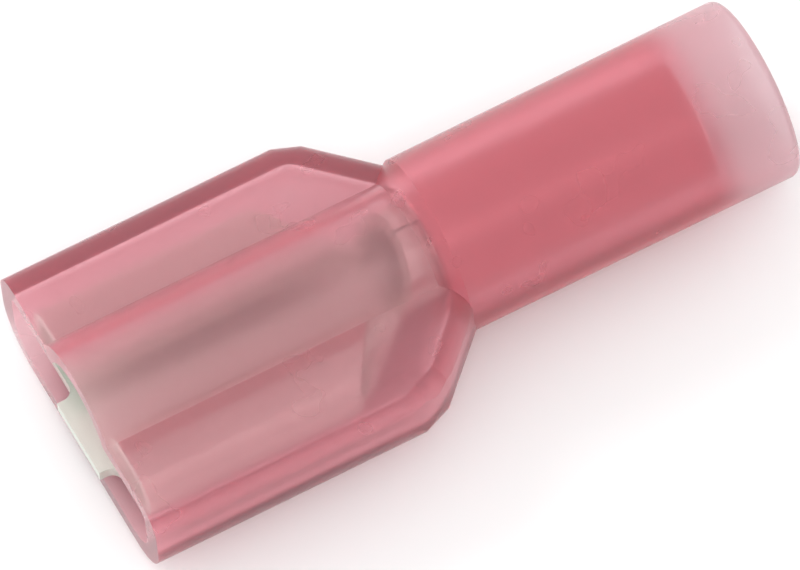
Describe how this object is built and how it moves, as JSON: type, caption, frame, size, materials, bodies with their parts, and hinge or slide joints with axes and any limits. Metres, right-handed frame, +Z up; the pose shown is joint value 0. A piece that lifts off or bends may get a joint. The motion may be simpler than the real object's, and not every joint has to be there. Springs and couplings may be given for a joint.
{
  "type": "female spade terminal",
  "caption": "Fully insulated female spade terminal: translucent nylon housing round a stamped receptacle with rolled flanges and a sleeved wire barrel.",
  "frame": {"origin": "under the middle of the part, on the surface that it lies on", "axes": "+X from the tab mouth to the wire entry, +Z up out of the flanges, Y across the width"},
  "size_m": [0.0226, 0.0098, 0.0057],
  "materials": {
    "nylon": "translucent pink-red moulded nylon",
    "tin_plated_brass": "tin plated, satin",
    "sleeve_metal": "bare copper alloy, satin"
  },
  "bodies": {
    "root": {"nylon_housing": "nylon", "receptacle_terminal": "tin_plated_brass", "support_sleeve": "sleeve_metal"}
  },
  "joints": []
}
